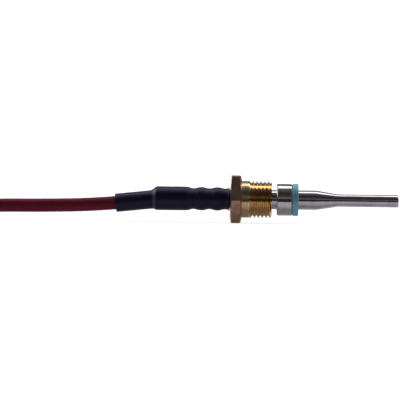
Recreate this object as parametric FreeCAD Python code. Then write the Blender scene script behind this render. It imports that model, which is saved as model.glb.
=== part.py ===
import FreeCAD, Part
import math
import os

# A resistance thermometer for direct immersion, with its fixed cable, as it lies on a table.
# Lengths are in millimetres. The probe's axis is the X axis and +X points to the closed tip.
# x = 0 is the front face of the sealing gasket. The floor is half a hexagon below the axis.

Vec = FreeCAD.Vector
X_AXIS = Vec(1, 0, 0)
Z_AXIS = Vec(0, 0, 1)
ORIGIN = Vec(0, 0, 0)

# Sheath tube, drawn down to a thin stem and closed at the tip
insertion_length = 27.5
body_radius = 2.5
body_wall = 0.3
stem_radius = 1.6
stem_wall = 0.3
stem_length = 15.7
taper_length = 5.5
taper_blend = 4.0
tip_thickness = 0.4
tip_corner = 0.35
rear_length = 34.8

# Grooves rolled into the sheath's rear part to grip the cable
groove_count = 3
groove_first = 17.2
groove_pitch = 4.15
groove_depth = 0.4
groove_ramp = 2.0
ridge_drop = 0.06

# Collar fixed on the sheath
collar_radius = 4.1
collar_length = 3.95
collar_chamfer = 0.2

# Sealing gasket in front of the collar
gasket_radius = 4.15
gasket_thick = 1.6
gasket_edge = 0.15
gasket_clearance = 0.05

# Hexagon clamping screw, free to turn on the sheath behind the collar
hex_flats = 12.0
hex_thick = 3.07
hex_face_radius = 5.1
hex_chamfer_angle = 14.5
screw_length = 10.82
shank_radius = 4.75
shank_length = 1.7
thread_radius = 4.95
thread_runout = 0.2
thread_chamfer = 0.45
screw_clearance = 0.1
screw_bore_chamfer = 0.3
collar_gap = 1.3

# Shrink sleeve over the sheath's rear part and the start of the cable
sleeve_wall = 0.58
sleeve_tail_wall = 0.64
sleeve_step = 1.6
step_rings = 4
sleeve_tail_length = 9.2
sleeve_end_gap = 0.1

# Cable: its whole length from the sheath's rear end, and where it lies before the hank
cable_radius = 1.75
cable_length = 1500.0
cable_route = [
    (-17.6, 0.0, 0.0),
    (-34.6, 0.0, 0.0),
    (-51.6, 0.2, -1.87),
    (-66.5, 1.0, -2.35),
    (-79.8, 2.6, -2.5),
    (-91.5, 4.5, -4.05),
    (-102.5, 5.5, -4.25),
]

# Hank of the spare cable: upright columns of turns around a long hole
hank_rows = 5
hank_columns = 2
hank_inner_bend = 10.5
hank_right_end = -87.0
hank_side = -8.5

# Straps round the hank's two long sides
tie_width = 3.0
tie_thick = 0.9
tie_proud = 0.3
tie_shift = 2.0
tie_head_length = 4.2
tie_head_depth = 2.4
tie_head_height = 4.4
tie_head_level = 11.0

# Far end of the cable, stripped to two cores with crimped ferrules
tail_length = 11.0
tail_start = 3.0
tail_turn_in = 0.6
end_core_radius = 0.6
end_core_length = 12.0
end_core_spread = 2.1
end_strands_radius = 0.35
ferrule_radius = 0.6
ferrule_rear_radius = 0.8
ferrule_length = 8.0
ferrule_fit = 0.02
ferrule_collar_radius = 1.3
ferrule_collar_length = 5.0
ferrule_collar_overlap = 2.5
ferrule_collar_wall = 0.4

# Measuring chip in the tip
chip_length = 5.0
chip_width = 1.5
chip_thick = 0.5
chip_front_gap = 0.9
bead_length = 1.1
bead_height = 0.4
bead_corner = 0.13
lead_overlap = 0.88
chip_lead_radius = 0.1
chip_lead_spacing = 0.8
chip_lead_bends = [6.0, 3.0]
chip_sleeve_length = 8.0
chip_sleeve_radius = 1.12
chip_sleeve_wall = 0.15
chip_sleeve_front_gap = 0.5
paste_length = 9.5
paste_clearance = 0.02

# Joints between the chip's leads and the cable's cores
splice_rear = -8.5
splice_length = 4.0
splice_radius = 0.5
splice_spacing = 1.8
splice_depth = 1.5
splice_fit = 0.02
splice_cover_length = 9.0
splice_cover_wall = 0.2
splice_cover_fit = 0.02
splice_cover_rear = -10.5
inner_core_radius = 0.6
inner_core_spacing = 1.3
inner_strands_radius = 0.3
inner_core_straight = 5.0
inner_core_bend = 1.8

# Places that follow from the sizes above
floor_z = -hex_flats / 2
collar_face_x = -gasket_thick
tip_x = collar_face_x + insertion_length
tip_inner_x = tip_x - tip_thickness
stem_rear_x = tip_x - stem_length
taper_rear_x = stem_rear_x - taper_length
collar_rear_x = collar_face_x - collar_length
screw_front_x = collar_rear_x - collar_gap
screw_rear_x = screw_front_x - screw_length
hex_front_x = screw_rear_x + hex_thick
sleeve_front_x = screw_rear_x - sleeve_end_gap
sheath_rear_x = collar_face_x - rear_length
body_bore = body_radius - body_wall
stem_bore = stem_radius - stem_wall
inner_radius_turns = hank_inner_bend - cable_radius
hank_width = 2 * cable_radius * hank_columns
hank_height = 2 * cable_radius * hank_rows
outer_radius_turns = inner_radius_turns + hank_width
hank_right_x = hank_right_end - outer_radius_turns


def point(x, r):
    """A point of a section that is turned round the X axis."""
    return Vec(x, 0, r)


def line(a, b):
    return Part.LineSegment(a, b).toShape()


def rounded(corners, radii):
    """Edges through the corners, with a tangent arc of its own radius at each inner corner."""
    edges = []
    start = corners[0]
    for before, corner, after, radius in zip(corners, corners[1:], corners[2:], radii):
        back = (before - corner).normalize()
        ahead = (after - corner).normalize()
        half_turn = (math.pi - back.getAngle(ahead)) / 2
        reach = radius * math.tan(half_turn)
        first = corner + back * reach
        last = corner + ahead * reach
        towards = (back + ahead).normalize()
        middle = corner + towards * (radius / math.cos(half_turn) - radius)
        edges.append(line(start, first))
        edges.append(Part.Arc(first, middle, last).toShape())
        start = last
    edges.append(line(start, corners[-1]))
    return edges


def turned(edges):
    """The solid that a closed section makes when it is turned round the X axis."""
    face = Part.Face(Part.Wire(edges))
    return face.revolve(ORIGIN, X_AXIS, 360)


def turned_outline(corners):
    """A turned solid of straight lines through the (x, radius) corners, which close on themselves."""
    points = [point(x, r) for x, r in corners]
    return turned([line(a, b) for a, b in zip(points, points[1:] + points[:1])])


def rod(start, end, radius):
    return Part.makeCylinder(radius, (end - start).Length, start, end - start)


def pipe(edges, radius):
    """A round solid that follows straight runs joined by tangent arcs."""
    path = Part.Wire(edges)
    first = path.OrderedEdges[0]
    start = path.OrderedVertexes[0].Point
    direction = first.tangentAt(first.FirstParameter)
    ring = Part.Wire(Part.makeCircle(radius, start, direction))
    return path.makePipeShell([ring], True, False)


def cord_radii(corners):
    """Each bend of a free cord is as large as its two runs allow."""
    radii = []
    for before, corner, after in zip(corners, corners[1:], corners[2:]):
        run = min((corner - before).Length, (after - corner).Length)
        turn = (corner - before).getAngle(after - corner)
        radii.append(0.45 * run / math.tan(turn / 2))
    return radii


def half_wave(x1, r1, x2, r2, offset):
    """Two tangent arcs from one radius to the next, at a distance from the sheath's outside."""
    high, low = ((x1, r1), (x2, r2)) if r1 > r2 else ((x2, r2), (x1, r1))
    run = abs(x2 - x1)
    depth = abs(r2 - r1)
    bend = (run**2 + depth**2) / (4 * depth)
    over = point(high[0], high[1] - bend)
    under = point(low[0], low[1] + bend)
    normal = (under - over).normalize()
    joint = point((x1 + x2) / 2, (r1 + r2) / 2) + normal * offset
    over_middle = over + (Z_AXIS + normal).normalize() * (bend + offset)
    under_middle = under - (Z_AXIS + normal).normalize() * (bend - offset)
    crest = Part.Arc(point(high[0], high[1] + offset), over_middle, joint).toShape()
    valley = Part.Arc(joint, under_middle, point(low[0], low[1] + offset)).toShape()
    return [crest, valley] if r1 > r2 else [valley, crest]


def rear_section(front_x, offset):
    """The grooved part of the sheath's section, from front_x to the rear end."""
    valley = body_radius - groove_depth
    ridge = body_radius - ridge_drop
    first_x = collar_face_x - groove_first
    stations = [(first_x + groove_ramp, body_radius)]
    for number in range(groove_count):
        x = first_x - number * groove_pitch
        stations.append((x, valley))
        if number < groove_count - 1:
            stations.append((x - groove_pitch / 2, ridge))
    last_x = first_x - (groove_count - 1) * groove_pitch
    stations.append((last_x - groove_ramp, body_radius))
    edges = [line(point(front_x, body_radius + offset), point(stations[0][0], body_radius + offset))]
    for (x1, r1), (x2, r2) in zip(stations, stations[1:]):
        edges += half_wave(x1, r1, x2, r2, offset)
    plain = point(stations[-1][0], body_radius + offset)
    edges.append(line(plain, point(sheath_rear_x, body_radius + offset)))
    return edges


def sheath_tube():
    """The stainless sheath: closed tip, thin stem, taper, body and three rolled grooves."""
    outer_front = [
        point(tip_x, 0),
        point(tip_x, stem_radius),
        point(stem_rear_x, stem_radius),
        point(taper_rear_x, body_radius),
        point(collar_face_x, body_radius),
    ]
    inner_front = [
        point(collar_face_x, body_bore),
        point(taper_rear_x, body_bore),
        point(stem_rear_x, stem_bore),
        point(tip_inner_x, stem_bore),
        point(tip_inner_x, 0),
    ]
    edges = rounded(outer_front, [tip_corner, taper_blend, taper_blend])
    edges += rear_section(collar_face_x, 0)
    edges.append(line(point(sheath_rear_x, body_radius), point(sheath_rear_x, body_bore)))
    edges += reversed(rear_section(collar_face_x, -body_wall))
    edges += rounded(inner_front, [taper_blend, taper_blend, tip_corner / 2])
    edges.append(line(point(tip_inner_x, 0), point(tip_x, 0)))
    return turned(Part.__sortEdges__(edges))


def collar():
    """The turned ring that carries the clamping force to the gasket."""
    rim = collar_radius - collar_chamfer
    return turned_outline(
        [
            (collar_face_x, body_radius),
            (collar_face_x, rim),
            (collar_face_x - collar_chamfer, collar_radius),
            (collar_rear_x + collar_chamfer, collar_radius),
            (collar_rear_x, rim),
            (collar_rear_x, body_radius),
        ]
    )


def sealing_gasket():
    bore = body_radius + gasket_clearance
    rim = gasket_radius - gasket_edge
    return turned_outline(
        [
            (0, bore),
            (0, rim),
            (-gasket_edge, gasket_radius),
            (collar_face_x + gasket_edge, gasket_radius),
            (collar_face_x, rim),
            (collar_face_x, bore),
        ]
    )


def hexagon_head():
    """Hexagon with two flats level, its corners turned down on both faces."""
    corner_radius = hex_flats / math.sqrt(3)
    corners = []
    for number in range(6):
        angle = math.radians(60 * number)
        corners.append(Vec(screw_rear_x, corner_radius * math.cos(angle), corner_radius * math.sin(angle)))
    prism = Part.Face(Part.makePolygon(corners + corners[:1])).extrude(X_AXIS * hex_thick)
    drop = (corner_radius - hex_face_radius) * math.tan(math.radians(hex_chamfer_angle))
    blank = turned_outline(
        [
            (screw_rear_x, 0),
            (screw_rear_x, hex_face_radius),
            (screw_rear_x + drop, corner_radius),
            (hex_front_x - drop, corner_radius),
            (hex_front_x, hex_face_radius),
            (hex_front_x, 0),
        ]
    )
    return prism.common(blank)


def clamping_screw():
    """Hexagon screw with a plain shank and a thread, drilled through for the sheath."""
    thread_rear_x = hex_front_x + shank_length
    shank = turned_outline(
        [
            (hex_front_x - hex_thick / 2, 0),
            (hex_front_x - hex_thick / 2, shank_radius),
            (thread_rear_x, shank_radius),
            (thread_rear_x + thread_runout, thread_radius),
            (screw_front_x - thread_chamfer, thread_radius),
            (screw_front_x, thread_radius - thread_chamfer),
            (screw_front_x, 0),
        ]
    )
    bore = body_radius + screw_clearance
    mouth = bore + screw_bore_chamfer
    drill = turned_outline(
        [
            (screw_rear_x, 0),
            (screw_rear_x, mouth),
            (screw_rear_x + screw_bore_chamfer, bore),
            (screw_front_x - screw_bore_chamfer, bore),
            (screw_front_x, mouth),
            (screw_front_x, 0),
        ]
    )
    return hexagon_head().fuse(shank).cut(drill).removeSplitter()


def cable_corners():
    return [Vec(*corner) for corner in cable_route]


def cable():
    corners = cable_corners()
    radii = cord_radii(corners)
    print("bend radii of the cable:", [round(radius, 1) for radius in radii])
    edges = rounded(corners, radii)
    solid = pipe(edges, cable_radius)
    length = sum(edge.Length for edge in edges)
    print("cable volume over section times length:", solid.Volume / (math.pi * cable_radius**2 * length))
    return solid


def on_route(x):
    """Centre and direction of the cable's second straight run at the given x."""
    start, end = cable_corners()[1:3]
    direction = (end - start).normalize()
    return start + direction * ((x - start.x) / direction.x), direction


def filled_rear(offset):
    """The grooved rear part of the sheath as a full body, at a distance from its outside."""
    r = body_radius + offset
    edges = rear_section(collar_face_x, offset)
    edges.append(line(point(sheath_rear_x, r), point(sheath_rear_x, 0)))
    edges.append(line(point(sheath_rear_x, 0), point(collar_face_x, 0)))
    edges.append(line(point(collar_face_x, 0), point(collar_face_x, r)))
    return turned(Part.__sortEdges__(edges))


def shrink_sleeve():
    """Sleeve shrunk over the grooved sheath, stepping down onto the cable behind it."""
    outer = body_radius + sleeve_wall
    tail_radius = cable_radius + sleeve_tail_wall
    step_end, along = on_route(sheath_rear_x - sleeve_step)
    rings = []
    for number in range(step_rings + 1):
        share = number / step_rings
        ease = share * share * (3 - 2 * share)
        centre = Vec(sheath_rear_x, 0, 0) * (1 - share) + step_end * share
        facing = (X_AXIS * (share - 1) + along * share).normalize()
        radius = outer + (tail_radius - outer) * ease
        rings.append(Part.Wire(Part.makeCircle(radius, centre, facing)))
    step = Part.makeLoft(rings, True, False)
    tail = rod(step_end, step_end + along * sleeve_tail_length, tail_radius)
    ahead = rod(point(sleeve_front_x, 0), point(collar_face_x, 0), 2 * outer)
    solid = filled_rear(sleeve_wall).fuse([step, tail])
    return solid.cut([filled_rear(0), ahead, cable()])


def hank_straight():
    """Length of the hank's straight sides, from the length of cable that is left for its turns."""
    edges = rounded(cable_corners(), cord_radii(cable_corners()))
    free = sum(edge.Length for edge in edges) - (cable_route[0][0] - sheath_rear_x)
    mean_radius = (inner_radius_turns + outer_radius_turns) / 2
    turns = hank_rows * hank_columns
    spare = cable_length - free - tail_length - end_core_length
    return spare / (2 * turns) - math.pi * mean_radius


def hank_section(x, side, inset, proud):
    """Section across one long side of the hank, with rounded corners, at a distance inside it."""
    centre_y = hank_side + side * (inner_radius_turns + hank_width / 2)
    half = hank_width / 2 - inset + proud
    low = floor_z + inset
    high = floor_z + hank_height - inset + proud
    corner = cable_radius - inset + proud
    outline = [
        Vec(x, centre_y, low),
        Vec(x, centre_y + half, low),
        Vec(x, centre_y + half, high),
        Vec(x, centre_y - half, high),
        Vec(x, centre_y - half, low),
        Vec(x, centre_y, low),
    ]
    return Part.Face(Part.Wire(rounded(outline, [corner] * 4)))


def tie_x(straight):
    return hank_right_x - straight / 2 - tie_width / 2 + tie_shift


def tie_slab(straight, side, inset, proud):
    return hank_section(tie_x(straight), side, inset, proud).extrude(X_AXIS * tie_width)


def cable_coil():
    """The outer shape of the hank's turns, grooved where the straps pull them together."""
    straight = hank_straight()
    print("hank's straight sides:", straight)
    sides = []
    for side in (1, -1):
        sides.append(hank_section(hank_right_x, side, 0, 0).extrude(X_AXIS * -straight))
    right = hank_section(hank_right_x, -1, 0, 0)
    right_fold = right.revolve(Vec(hank_right_x, hank_side, 0), Z_AXIS, 180)
    left = hank_section(hank_right_x - straight, 1, 0, 0)
    left_fold = left.revolve(Vec(hank_right_x - straight, hank_side, 0), Z_AXIS, 180)
    hank = sides[0].fuse([sides[1], right_fold, left_fold]).removeSplitter()
    for side in (1, -1):
        band = tie_slab(straight, side, 0, tie_proud).cut(tie_slab(straight, side, tie_thick, 0))
        hank = hank.cut(band)
    return hank


def cable_tie(side):
    """A strap round one long side, its head on the wall of the hank's hole."""
    straight = hank_straight()
    band = tie_slab(straight, side, 0, tie_proud).cut(tie_slab(straight, side, tie_thick, 0))
    wall_y = hank_side + side * (inner_radius_turns - tie_proud)
    low_y = wall_y - tie_head_depth if side > 0 else wall_y
    head_x = tie_x(straight) + (tie_width - tie_head_length) / 2
    corner = Vec(head_x, low_y, floor_z + tie_head_level - tie_head_height / 2)
    head = Part.makeBox(tie_head_length, tie_head_depth, tie_head_height, corner)
    return band.fuse(head).removeSplitter()


def tail_ends():
    """Ends of the short straight piece of cable inside the hank's hole."""
    y = hank_side + inner_radius_turns - cable_radius
    z = floor_z + cable_radius
    start = Vec(hank_right_x + tail_start, y, z)
    end = start + Vec(-tail_length, -tail_turn_in, 0)
    return start, end


def cable_tail():
    start, end = tail_ends()
    return rod(start, end, cable_radius)


def end_core_ends(side):
    """Start and end of one stripped core, which slopes down until its ferrule lies on the floor."""
    start, end = tail_ends()
    along = (end - start).normalize()
    across = Vec(0, side * end_core_radius, 0)
    first = end + across
    drop = floor_z + ferrule_collar_radius - first.z
    spread = end_core_spread if side < 0 else 0
    return first, first + Vec(along.x * end_core_length, -spread, drop)


def end_core(side):
    first, last = end_core_ends(side)
    strands = rod(first, last, end_strands_radius + ferrule_fit)
    return rod(first, last, end_core_radius).cut([strands, cable_tail()])


def end_axis(side):
    """Where a core's insulation ends, and the way that its ferrule points: level, along the core."""
    first, last = end_core_ends(side)
    way = last - first
    return last, Vec(way.x, way.y, 0).normalize()


def end_strands(side):
    first, last = end_core_ends(side)
    tip = ferrule_tip(side)
    inside = rod(first, last, end_strands_radius)
    knee = Part.makeSphere(end_strands_radius, last)
    whole = inside.fuse([knee, rod(last, tip, end_strands_radius)]).removeSplitter()
    return whole.cut(cable_tail())


def ferrule_tip(side):
    last, way = end_axis(side)
    return last + way * (ferrule_length + ferrule_fit)


def end_ferrule(side):
    """Metal ferrule crimped on the strands, wider where its plastic collar holds it."""
    last, way = end_axis(side)
    start = last + way * ferrule_fit * 2
    step = last + way * (ferrule_collar_length - ferrule_collar_overlap)
    end = last + way * ferrule_length
    barrel = rod(start, step, ferrule_rear_radius).fuse(rod(start, end, ferrule_radius))
    return barrel.cut(rod(start, end, end_strands_radius + ferrule_fit)).removeSplitter()


def ferrule_collar(side):
    """Plastic collar over the ferrule's rear and the end of the core's insulation."""
    last, way = end_axis(side)
    start = last - way * ferrule_collar_overlap
    end = last + way * (ferrule_collar_length - ferrule_collar_overlap)
    shell = rod(start, end, ferrule_collar_radius)
    wide = ferrule_collar_radius - ferrule_collar_wall
    narrow = ferrule_rear_radius + ferrule_fit
    return shell.cut([rod(start, last + way * ferrule_fit, wide), rod(last, end, narrow)])


def chip_rear_x():
    return tip_inner_x - chip_front_gap - chip_length


def sensor_chip():
    corner = Vec(chip_rear_x(), -chip_width / 2, -chip_thick / 2)
    return Part.makeBox(chip_length, chip_width, chip_thick, corner)


def lead_start(side):
    """End of a chip lead, lying on the chip under the glass bead."""
    x = chip_rear_x() + lead_overlap
    return Vec(x, side * chip_lead_spacing / 2, chip_thick / 2 + chip_lead_radius)


def lead_corners(side):
    start = lead_start(side)
    bend_x = tip_inner_x - chip_front_gap - chip_sleeve_length
    splice_front = Vec(splice_rear + splice_length, side * splice_spacing / 2, 0)
    bend = Vec(bend_x, start.y, start.z)
    inside = splice_front - X_AXIS * (splice_depth - splice_fit)
    ahead = splice_front + X_AXIS * splice_depth
    return [start, bend, ahead, inside]


def chip_lead(side):
    corners = lead_corners(side)
    return pipe(rounded(corners, chip_lead_bends), chip_lead_radius)


def lead_bead():
    """Glass that fixes the leads to the chip's end."""
    bead = Part.makeBox(
        bead_length,
        chip_width,
        bead_height,
        Vec(chip_rear_x(), -chip_width / 2, chip_thick / 2),
    )
    bead = bead.makeFillet(bead_corner, [edge for edge in bead.Edges if is_top(edge)])
    for side in (1, -1):
        start = lead_start(side)
        rear = Vec(chip_rear_x() - bead_length, start.y, start.z)
        bead = bead.cut(rod(start, rear, chip_lead_radius))
    return bead


def is_top(edge):
    return edge.BoundBox.ZMin > chip_thick / 2 + bead_height / 2


def chip_sleeve():
    """Thin insulating tube round the chip and the start of its leads."""
    front = tip_inner_x - chip_sleeve_front_gap
    rear = front - chip_sleeve_length
    outside = rod(point(rear, 0), point(front, 0), chip_sleeve_radius)
    return outside.cut(rod(point(rear, 0), point(front, 0), chip_sleeve_radius - chip_sleeve_wall))


def thermal_paste():
    """Heat-conducting filling between the chip's tube and the sheath's tip."""
    rear = tip_inner_x - paste_length
    inside = chip_sleeve_radius + paste_clearance
    sleeve_front = tip_inner_x - chip_sleeve_front_gap + paste_clearance
    outline = [point(tip_inner_x, 0), point(tip_inner_x, stem_bore), point(rear, stem_bore)]
    edges = rounded(outline, [tip_corner / 2])
    edges.append(line(point(rear, stem_bore), point(rear, inside)))
    edges.append(line(point(rear, inside), point(sleeve_front, inside)))
    edges.append(line(point(sleeve_front, inside), point(sleeve_front, 0)))
    edges.append(line(point(sleeve_front, 0), point(tip_inner_x, 0)))
    return turned(edges)


def lead_splice(side):
    """Crimp barrel that takes a chip lead in front and a core's strands behind."""
    y = side * splice_spacing / 2
    rear = Vec(splice_rear, y, 0)
    front = rear + X_AXIS * splice_length
    barrel = rod(rear, front, splice_radius)
    lead_hole = rod(front, front - X_AXIS * splice_depth, chip_lead_radius + splice_fit)
    strand_hole = rod(rear, rear + X_AXIS * splice_depth, inner_strands_radius + splice_fit)
    return barrel.cut([lead_hole, strand_hole])


def splice_cover(side):
    """Insulating tube over a crimp barrel and the end of its core."""
    rear = Vec(splice_cover_rear, side * splice_spacing / 2, 0)
    front = rear + X_AXIS * splice_cover_length
    bore = max(inner_core_radius, splice_radius) + splice_cover_fit
    return rod(rear, front, bore + splice_cover_wall).cut(rod(rear, front, bore))


def core_route(side, front_x):
    """From the cable's front face to a crimp barrel, spreading on the way."""
    rear_x = cable_route[0][0]
    near = inner_core_spacing / 2 * side
    far = splice_spacing / 2 * side
    return [
        Vec(rear_x, near, 0),
        Vec(rear_x + inner_core_straight / 2, near, 0),
        Vec(rear_x + inner_core_straight, far, 0),
        Vec(front_x, far, 0),
    ]


def inner_core(side):
    """Insulation of one core between the cable's front face and its crimp barrel."""
    corners = core_route(side, splice_rear - splice_cover_fit)
    edges = rounded(corners, [inner_core_bend] * 2)
    return pipe(edges, inner_core_radius).cut(pipe(edges, inner_strands_radius + splice_fit))


def inner_strands(side):
    corners = core_route(side, splice_rear + splice_depth - splice_fit)
    return pipe(rounded(corners, [inner_core_bend] * 2), inner_strands_radius)


def pieces():
    made = {
        "sheath_tube": sheath_tube(),
        "collar": collar(),
        "sealing_gasket": sealing_gasket(),
        "clamping_screw": clamping_screw(),
        "shrink_sleeve": shrink_sleeve(),
        "cable": cable(),
        "cable_coil": cable_coil(),
        "cable_tail": cable_tail(),
        "sensor_chip": sensor_chip(),
        "lead_bead": lead_bead(),
        "chip_sleeve": chip_sleeve(),
        "thermal_paste": thermal_paste(),
    }
    for letter, side in (("a", 1), ("b", -1)):
        made["cable_tie_" + letter] = cable_tie(side)
        made["end_core_" + letter] = end_core(side)
        made["end_strands_" + letter] = end_strands(side)
        made["end_ferrule_" + letter] = end_ferrule(side)
        made["ferrule_collar_" + letter] = ferrule_collar(side)
        made["chip_lead_" + letter] = chip_lead(side)
        made["lead_splice_" + letter] = lead_splice(side)
        made["splice_cover_" + letter] = splice_cover(side)
        made["inner_core_" + letter] = inner_core(side)
        made["inner_strands_" + letter] = inner_strands(side)
    return made


os.makedirs("parts", exist_ok=True)
for name, shape in pieces().items():
    print(name, shape.ShapeType, len(shape.Solids), shape.isValid(), round(shape.Volume, 3))
    shape.exportStep("parts/" + name + ".step")
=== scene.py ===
import math
import random

import bmesh
import bpy
from mathutils import Matrix, Vector
from mathutils import noise as noise_field


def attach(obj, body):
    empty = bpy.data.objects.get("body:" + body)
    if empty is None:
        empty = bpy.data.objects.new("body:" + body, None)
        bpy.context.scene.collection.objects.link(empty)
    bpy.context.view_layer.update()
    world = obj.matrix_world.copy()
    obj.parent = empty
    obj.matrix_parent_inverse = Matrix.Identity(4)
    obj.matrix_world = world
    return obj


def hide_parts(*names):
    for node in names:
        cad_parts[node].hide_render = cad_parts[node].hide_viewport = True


# Looks of a resistance thermometer with its cable, in the frame of the solids: the probe's axis is
# X, +X points to the tip, x = 0 is the front face of the gasket. Plain lengths are in millimetres,
# those multiplied by MM or MICRON are in metres. Angles are in degrees until they become radians.

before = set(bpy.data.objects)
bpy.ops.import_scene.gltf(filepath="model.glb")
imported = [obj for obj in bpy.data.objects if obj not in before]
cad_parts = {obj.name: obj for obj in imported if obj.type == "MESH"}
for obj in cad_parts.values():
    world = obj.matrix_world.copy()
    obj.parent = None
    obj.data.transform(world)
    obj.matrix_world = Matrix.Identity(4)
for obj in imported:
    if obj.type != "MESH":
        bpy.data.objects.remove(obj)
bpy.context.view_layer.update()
scene = bpy.context.scene
dice = random.Random(7)
MM = 0.001
MICRON = 0.000001

# The photograph's view
TARGET = Vector((-25.38, 0, -0.34)) * MM
DISTANCE = 1000 * MM
CLIP_START = 10 * MM
CAMERA_RISE = math.radians(3.3)
CAMERA_ROLL = math.radians(0.75)
CAMERA_YAW = math.radians(0.7)
LENS = 348.3

# The floor: white for the camera. In reflections the paper in front of the part is a painted shade,
# and the paper behind it has a painted glow that lifts the shade under the part
FLOOR_Z = -6 * MM
FLOOR_SIZE = 4000 * MM
FLOOR_EDGE_Y = -27 * MM
FLOOR_EDGE_SOFT = 2 * MM
FLOOR_FRONT_PAINTED_SHADE = (0.03, 0.028, 0.03)
FLOOR_BACK = (0.48, 0.455, 0.50)
FLOOR_BACK_PAINTED_GLOW = 0.18
FLOOR_GLOW_TINT = (1, 0.93, 1)
FLOOR_SEEN = (0.5, 0.5, 0.5)
FLOOR_SEEN_GLOW = 0.86

# The light, by its direction only, as stops of an angle and a colour. The bands go from the front
# over the top to the back, the panels from straight behind round to the front. Each foot and top
# is a pair of heights of the direction, between which a panel goes from nothing to full.
LIGHT_STRENGTH = 2.8
SEEN_STRENGTH = 1.05
LIGHT_BANDS = [
    (0, (0.010, 0.009, 0.010)),
    (11.5, (0.010, 0.009, 0.010)),
    (13.5, (0.085, 0.085, 0.072)),
    (20, (0.035, 0.034, 0.029)),
    (35, (0.013, 0.012, 0.012)),
    (55, (0.011, 0.010, 0.013)),
    (75, (0.036, 0.030, 0.044)),
    (95, (0.045, 0.038, 0.058)),
    (100.5, (0.85, 0.83, 0.81)),
    (116.5, (0.85, 0.83, 0.81)),
    (122, (0.07, 0.063, 0.075)),
    (180, (0.05, 0.045, 0.055)),
]
LOW_PANEL = [
    (8, (0, 0, 0)),
    (16, (0.6, 0.56, 0.53)),
    (34, (0.6, 0.56, 0.53)),
    (42, (0.02, 0.019, 0.02)),
    (114, (0.02, 0.019, 0.02)),
    (122, (0, 0, 0)),
]
LOW_PANEL_TOP = (0.2, 0.1)
HIGH_PANELS = [
    (38, (0, 0, 0)),
    (48, (0.50, 0.48, 0.51)),
    (62, (0.50, 0.48, 0.51)),
    (76, (0, 0, 0)),
]
HIGH_PANELS_FOOT = (0.16, 0.46)
HIGH_PANELS_TOP = (0.95, 0.88)

# Noise in the materials: its detail in blotches and in the grain, and the range it is used in
BLOTCH_DETAIL = 4.0
GRAIN_DETAIL = 6.0
NOISE_ROUGHNESS = 0.55
BLOTCH_RANGE = (0.35, 0.65)
GRAIN_RANGE = (0.3, 0.7)

# Shine of the sleeve's step, plain and raised into a painted highlight, and the shares of its length
# where it changes
STEP_SHINE = 0.3
STEP_PAINTED_HIGHLIGHT = 1.0
PAINTED_HIGHLIGHT_MARKS = (0.22, 0.36, 0.62, 0.78)

# The cable, its route as in the solids, and its hank: two columns of turns, long in X
CABLE_RADIUS = 1.75 * MM
CABLE_ROUTE = [
    (-17.6, 0.0, 0.0),
    (-34.6, 0.0, 0.0),
    (-51.6, 0.2, -1.87),
    (-66.5, 1.0, -2.35),
    (-79.8, 2.6, -2.5),
    (-91.5, 4.5, -4.05),
    (-102.5, 5.5, -4.25),
]
LINE_ORDER = 3
ROWS = 5
ROW_PITCH = 3.5
ROW_FIRST = -4.25
OUTER_TURN = 14.0
INNER_TURN = 10.5
TAIL_TURN = 7.0
FOLD_RIGHT = -102.75
FOLD_LEFT = -134.78
FOLD_SLACK = 0.25
LEFT_STEP = 30
RIGHT_STEP = 20
HANK_Y = -8.5
TAIL_LEAVES_X = -108.6
TAIL_LEAVES_IN = 1.2
TAIL_END = (-110.75, -2.1, -4.25)
TIE_X = -116.77

# Angles of the right fold between which the cable climbs a row, crosses to the inner column and
# sinks a row
CLIMB_ANGLES = (-20, 35)
CROSS_ANGLES = (-60, 0)
SINK_ANGLES = (-90, -35)

# Sheath under the shrink sleeve: places and radii where its grooves and ridges end and turn
SHEATH_RADIUS = 2.5
SHEATH_REAR = -36.4
WAVE = [
    (-16.8, 2.5),
    (-18.8, 2.1),
    (-20.875, 2.44),
    (-22.95, 2.1),
    (-25.025, 2.44),
    (-27.1, 2.1),
    (-29.1, 2.5),
]

# Shrink sleeve
SLEEVE_FRONT = -17.77
SLEEVE_WALL = 0.58
SLEEVE_FIT = 0.02
SLEEVE_ROUNDING = 0.12
SLEEVE_STEP = 1.6
SLEEVE_TAIL = 9.2
SLEEVE_TAIL_RADIUS = 2.39
SLEEVE_END_ROUNDING = 0.06
SLEEVE_END_RUN = 0.3
SLEEVE_MOUTH_RADIUS = 1.8
SLEEVE_MOUTH_DEPTH = 0.8
SLEEVE_BORE = 1.76
SLEEVE_WAVES = 0.035
SLEEVE_WAVES_SCALE = 0.35
SLEEVE_RIPPLES = 0.012
SLEEVE_UNEVEN_LIMIT = 0.02

# Straps round the hank, with raised rails along their edges and a head with a slot
HANK_WALL = 8.75
HANK_SIDE_WIDTH = 7.0
HANK_HEIGHT = 17.5
STRAP_WIDTH = 3.0
STRAP_THICK = 0.8
STRAP_PROUD = 0.3
STRAP_CORNER_STEPS = 8
STRAP_CHAMFER = 0.12
STRAP_CHAMFER_DEPTH = 0.2
RAIL_EDGE = 0.5
RAIL_FOOT = 0.65
RAIL_HEIGHT = 0.12
HEAD_LENGTH = 4.2
HEAD_DEPTH = 2.4
HEAD_HEIGHT = 4.4
HEAD_Z = 5.0
HEAD_ROUNDING = 0.35
HEAD_ROUNDING_STEPS = 3
LEVEL_NORMAL = 0.99
SMALLEST_END = 1.0
SLOT_RIM = 0.28
SLOT_DEPTH = 0.9
STUB_NARROWER = 0.5
STUB_LENGTH = 1.9
STUB_SUNK = 0.1

# Stripped cores: shares of the way in x, y and z at two places between jacket and ferrule
CORE_RADIUS = 0.6
CORE_START_X = -110.4
CORE_END_X = -122.73
CORE_END_Z = -4.7
CORE_BENDS = [(0.35, 0.3, 0.5), (0.7, 0.75, 0.8)]

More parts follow.
